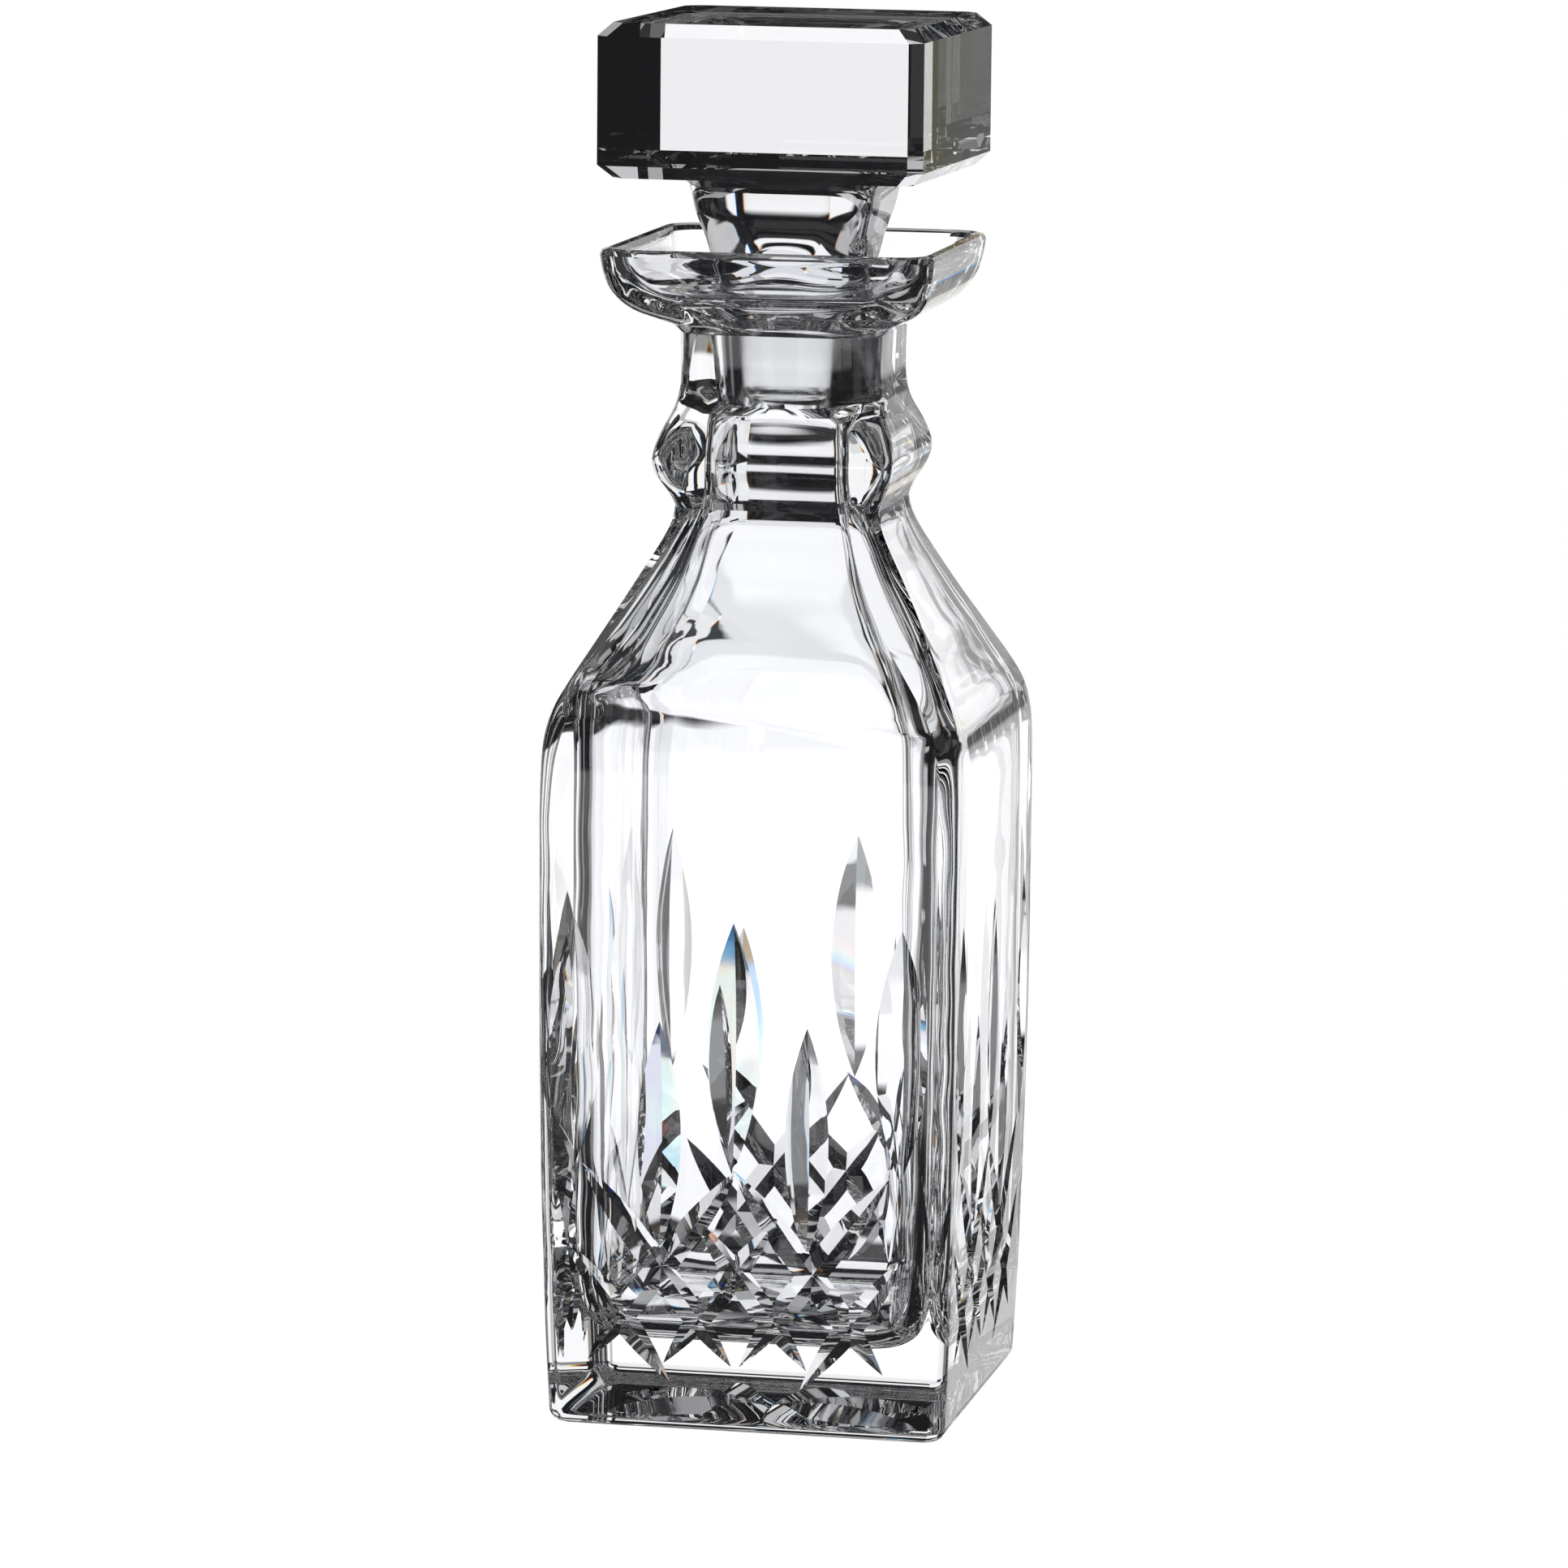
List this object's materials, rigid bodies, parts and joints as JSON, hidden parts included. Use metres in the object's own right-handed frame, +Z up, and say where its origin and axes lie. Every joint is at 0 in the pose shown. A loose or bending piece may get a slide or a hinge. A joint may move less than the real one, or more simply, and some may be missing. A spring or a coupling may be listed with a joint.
{
  "type": "decanter",
  "caption": "Square cut crystal decanter with a ringed neck and a square pouring lip, and a block-headed ground stopper that lifts out.",
  "frame": {"origin": "centre of the underside, on the surface the decanter stands on", "axes": "+Z up along the bottle's axis, front face towards -Y"},
  "size_m": [0.079, 0.079, 0.26],
  "materials": {
    "lead_crystal": "clear blown lead crystal, cut and polished",
    "stopper_crystal": "clear pressed lead crystal, polished, with a lightly ground taper plug"
  },
  "bodies": {
    "decanter_bottle": {"bottle": "lead_crystal"},
    "decanter_stopper": {"stopper": "stopper_crystal"}
  },
  "joints": [
    {"name": "stopper_lift", "type": "slide", "parent": "decanter_bottle", "child": "decanter_stopper", "axis": [0, 0, 1], "range_m": [0, 0.045]}
  ]
}
